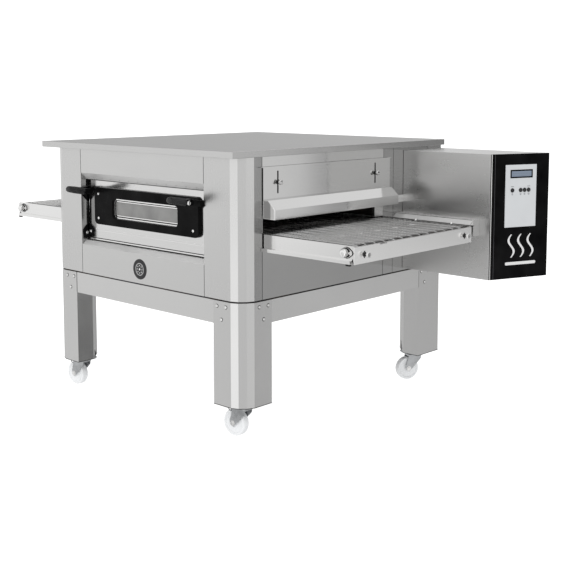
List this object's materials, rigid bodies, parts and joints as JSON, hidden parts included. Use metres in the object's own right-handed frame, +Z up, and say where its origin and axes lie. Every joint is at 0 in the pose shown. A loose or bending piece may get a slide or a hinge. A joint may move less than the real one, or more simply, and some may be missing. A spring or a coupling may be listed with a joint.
{
  "type": "conveyor pizza oven",
  "caption": "Stainless conveyor pizza oven on a castored stand, with wire belt, adjustable hoods, drop-down window door and side control box.",
  "frame": {"origin": "bottom centre of the whole oven's bounding box, on the floor", "axes": "+X along the conveyor towards the exit and the control box, +Y from the door side to the back, +Z up"},
  "size_m": [2.118, 1.4042, 1.058],
  "materials": {
    "brushed_steel": "vertical and horizontal fine brushing",
    "polished_steel": "bright fine brushing",
    "cover_steel": "satin",
    "zinc_plate": "bright zinc plate",
    "heat_stained_steel": "heat stained",
    "shaft_steel": "turned",
    "belt_wire": "bright drawn wire",
    "cast_aluminium": "as cast",
    "white_nylon": "moulded",
    "black_enamel": "satin black enamel",
    "black_gloss_panel": "gloss black",
    "keypad_grey": "matt printed foil",
    "button_black": "satin",
    "window_glass": "clear toughened"
  },
  "bodies": {
    "casing": {"leg_front_exit": "brushed_steel", "leg_front_entrance": "brushed_steel", "leg_rear_exit": "brushed_steel", "leg_rear_entrance": "brushed_steel", "rail_front": "brushed_steel", "rail_rear": "brushed_steel", "rail_exit": "brushed_steel", "rail_entrance": "brushed_steel", "corner_post_front_exit": "brushed_steel", "corner_post_front_entrance": "brushed_steel", "corner_post_rear_exit": "brushed_steel", "corner_post_rear_entrance": "brushed_steel", "front_upper_panel": "brushed_steel", "front_lower_panel": "brushed_steel", "exit_upper_panel": "brushed_steel", "exit_lower_panel": "brushed_steel", "exit_side_panel": "brushed_steel", "entrance_upper_panel": "brushed_steel", "entrance_lower_panel": "brushed_steel", "entrance_side_panel": "brushed_steel", "rear_panel": "brushed_steel", "rear_cover": "brushed_steel", "control_box_shell": "brushed_steel", "drive_guard": "brushed_steel", "top_cover": "cover_steel", "conveyor_side_front": "polished_steel", "conveyor_side_rear": "polished_steel", "base_pan": "heat_stained_steel", "chamber_liner": "heat_stained_steel", "heating_element_upper": "heat_stained_steel", "heating_element_lower": "heat_stained_steel", "fan_motor": "cast_aluminium", "gear_motor": "cast_aluminium", "conveyor_belt": "belt_wire", "control_panel": "black_gloss_panel", "keypad_plate": "keypad_grey"},
    "exit_baffle": {"exit_baffle": "brushed_steel"},
    "entrance_baffle": {"entrance_baffle": "brushed_steel"},
    "exit_end_bar": {"exit_end_bar": "polished_steel"},
    "entrance_end_bar": {"entrance_end_bar": "polished_steel"},
    "door": {"door_panel": "polished_steel", "door_window_frame": "black_enamel", "door_glass": "window_glass", "door_handle_left": "black_enamel", "door_handle_right": "black_enamel"},
    "drive_shaft": {"drive_shaft": "shaft_steel"},
    "idler_shaft": {"idler_shaft": "shaft_steel"},
    "fan_wheel": {"fan_wheel": "cast_aluminium"},
    "button_1": {"button_1": "button_black"},
    "button_2": {"button_2": "button_black"},
    "button_3": {"button_3": "button_black"},
    "button_4": {"button_4": "button_black"},
    "caster_fork_front_exit": {"caster_fork_front_exit": "zinc_plate"},
    "caster_wheel_front_exit": {"caster_wheel_front_exit": "white_nylon"},
    "caster_fork_front_entrance": {"caster_fork_front_entrance": "zinc_plate"},
    "caster_wheel_front_entrance": {"caster_wheel_front_entrance": "white_nylon"},
    "caster_fork_rear_exit": {"caster_fork_rear_exit": "zinc_plate"},
    "caster_wheel_rear_exit": {"caster_wheel_rear_exit": "white_nylon"},
    "caster_fork_rear_entrance": {"caster_fork_rear_entrance": "zinc_plate"},
    "caster_wheel_rear_entrance": {"caster_wheel_rear_entrance": "white_nylon"}
  },
  "joints": [
    {"name": "caster_swivel_front_exit", "type": "hinge", "parent": "casing", "child": "caster_fork_front_exit", "pos_m": [0.456, -0.50916, 0.11], "axis": [0, 0, 1], "continuous": true},
    {"name": "caster_roll_front_exit", "type": "hinge", "parent": "caster_fork_front_exit", "child": "caster_wheel_front_exit", "pos_m": [0.42313, -0.51203, 0.05], "axis": [-0.0872, 0.9962, 0], "continuous": true},
    {"name": "caster_swivel_front_entrance", "type": "hinge", "parent": "casing", "child": "caster_fork_front_entrance", "pos_m": [-0.529, -0.50916, 0.11], "axis": [0, 0, 1], "continuous": true},
    {"name": "caster_roll_front_entrance", "type": "hinge", "parent": "caster_fork_front_entrance", "child": "caster_wheel_front_entrance", "pos_m": [-0.56187, -0.51203, 0.05], "axis": [-0.0872, 0.9962, 0], "continuous": true},
    {"name": "caster_swivel_rear_exit", "type": "hinge", "parent": "casing", "child": "caster_fork_rear_exit", "pos_m": [0.456, 0.55284, 0.11], "axis": [0, 0, 1], "continuous": true},
    {"name": "caster_roll_rear_exit", "type": "hinge", "parent": "caster_fork_rear_exit", "child": "caster_wheel_rear_exit", "pos_m": [0.44051, 0.5237, 0.05], "axis": [-0.8829, 0.4695, 0], "continuous": true},
    {"name": "caster_swivel_rear_entrance", "type": "hinge", "parent": "casing", "child": "caster_fork_rear_entrance", "pos_m": [-0.529, 0.55284, 0.11], "axis": [0, 0, 1], "continuous": true},
    {"name": "caster_roll_rear_entrance", "type": "hinge", "parent": "caster_fork_rear_entrance", "child": "caster_wheel_rear_entrance", "pos_m": [-0.55536, 0.5727, 0.05], "axis": [0.6018, 0.7986, 0], "continuous": true},
    {"name": "door_hinge", "type": "hinge", "parent": "casing", "child": "door", "pos_m": [-0.03855, -0.56216, 0.683], "axis": [1, 0, 0], "range_deg": [0, 90]},
    {"name": "exit_baffle_height", "type": "slide", "parent": "casing", "child": "exit_baffle", "axis": [0, 0, 1], "range_m": [-0.034, 0.034]},
    {"name": "exit_end_bar_height", "type": "slide", "parent": "casing", "child": "exit_end_bar", "axis": [0, 0, 1], "range_m": [-0.008, 0.008]},
    {"name": "entrance_baffle_height", "type": "slide", "parent": "casing", "child": "entrance_baffle", "axis": [0, 0, 1], "range_m": [-0.034, 0.034]},
    {"name": "entrance_end_bar_height", "type": "slide", "parent": "casing", "child": "entrance_end_bar", "axis": [0, 0, 1], "range_m": [-0.008, 0.008]},
    {"name": "drive_spin", "type": "hinge", "parent": "casing", "child": "drive_shaft", "pos_m": [0.918, -0.12866, 0.732], "axis": [0, 1, 0], "continuous": true},
    {"name": "idler_spin", "type": "hinge", "parent": "casing", "child": "idler_shaft", "pos_m": [-1.003, -0.12866, 0.732], "axis": [0, 1, 0], "continuous": true},
    {"name": "fan_spin", "type": "hinge", "parent": "casing", "child": "fan_wheel", "pos_m": [-0.0365, 0.54584, 0.78], "axis": [0, 1, 0], "continuous": true},
    {"name": "button_1_press", "type": "slide", "parent": "casing", "child": "button_1", "axis": [-0.9244, 0.3814, 0], "range_m": [0, 0.0015], "stiffness_N_per_m": 400, "springref_m": -0.001},
    {"name": "button_2_press", "type": "slide", "parent": "casing", "child": "button_2", "axis": [-0.9244, 0.3814, 0], "range_m": [0, 0.0015], "stiffness_N_per_m": 400, "springref_m": -0.001},
    {"name": "button_3_press", "type": "slide", "parent": "casing", "child": "button_3", "axis": [-0.9244, 0.3814, 0], "range_m": [0, 0.0015], "stiffness_N_per_m": 400, "springref_m": -0.001},
    {"name": "button_4_press", "type": "slide", "parent": "casing", "child": "button_4", "axis": [-0.9244, 0.3814, 0], "range_m": [0, 0.0015], "stiffness_N_per_m": 400, "springref_m": -0.001}
  ],
  "couplings": [
    {"joint": "idler_spin", "follows": "drive_spin", "ratio": 1}
  ]
}
